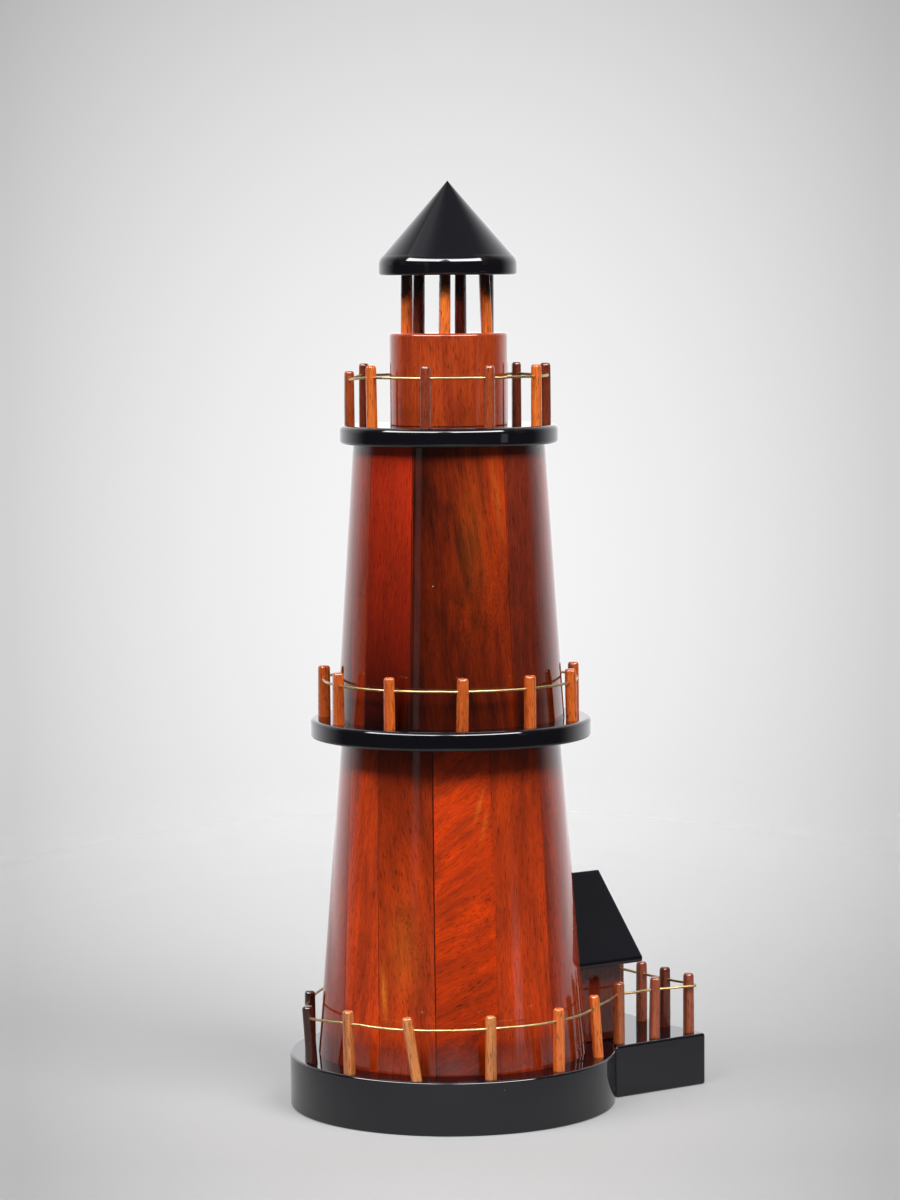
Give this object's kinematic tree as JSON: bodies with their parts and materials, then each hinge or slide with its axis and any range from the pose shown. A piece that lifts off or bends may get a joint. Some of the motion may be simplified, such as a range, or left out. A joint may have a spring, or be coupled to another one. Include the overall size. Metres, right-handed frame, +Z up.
{
  "type": "lighthouse ornament",
  "caption": "Lacquered wooden lighthouse ornament: tapered tower, black gallery discs with peg-and-wire railings, open lantern, cone roof and a small gabled house on a terrace at its side",
  "frame": {"origin": "centre of the round base's flat underside, on the axis of the tower", "axes": "+Z up along the tower's axis; +X from the tower towards the keeper's house and the end of its terrace; +Y across the house, to its left when looking from the tower along +X"},
  "size_m": [0.1805, 0.142, 0.4],
  "materials": {
    "red_wood": "gloss",
    "black_lacquer": "high gloss black lacquer",
    "post_wood": "satin",
    "brass_wire": "satin",
    "plain_dowel": "bare"
  },
  "bodies": {
    "root": {"base_disc": "black_lacquer", "base_post_01": "post_wood", "base_post_02": "post_wood", "base_post_03": "post_wood", "base_post_04": "post_wood", "base_post_05": "post_wood", "base_post_06": "post_wood", "base_post_07": "post_wood", "base_post_08": "post_wood", "base_post_09": "post_wood", "base_post_10": "post_wood", "base_rail_wire": "brass_wire", "centre_dowel": "plain_dowel", "house_body": "red_wood", "house_roof": "black_lacquer", "lantern_drum": "red_wood", "lantern_pillar_1": "red_wood", "lantern_pillar_2": "red_wood", "lantern_pillar_3": "red_wood", "lantern_pillar_4": "red_wood", "lantern_pillar_5": "red_wood", "lantern_pillar_6": "red_wood", "lower_tower": "red_wood", "middle_disc": "black_lacquer", "middle_post_01": "post_wood", "middle_post_02": "post_wood", "middle_post_03": "post_wood", "middle_post_04": "post_wood", "middle_post_05": "post_wood", "middle_post_06": "post_wood", "middle_post_07": "post_wood", "middle_post_08": "post_wood", "middle_post_09": "post_wood", "middle_post_10": "post_wood", "middle_post_11": "post_wood", "middle_rail_wire": "brass_wire", "roof_cone": "black_lacquer", "terrace_block": "black_lacquer", "terrace_post_01": "post_wood", "terrace_post_02": "post_wood", "terrace_post_03": "post_wood", "terrace_post_04": "post_wood", "terrace_post_05": "post_wood", "terrace_post_06": "post_wood", "terrace_post_07": "post_wood", "terrace_post_08": "post_wood", "terrace_post_09": "post_wood", "top_disc": "black_lacquer", "top_post_01": "post_wood", "top_post_02": "post_wood", "top_post_03": "post_wood", "top_post_04": "post_wood", "top_post_05": "post_wood", "top_post_06": "post_wood", "top_post_07": "post_wood", "top_post_08": "post_wood", "top_post_09": "post_wood", "top_post_10": "post_wood", "top_rail_wire": "brass_wire", "upper_tower": "red_wood"}
  },
  "joints": []
}
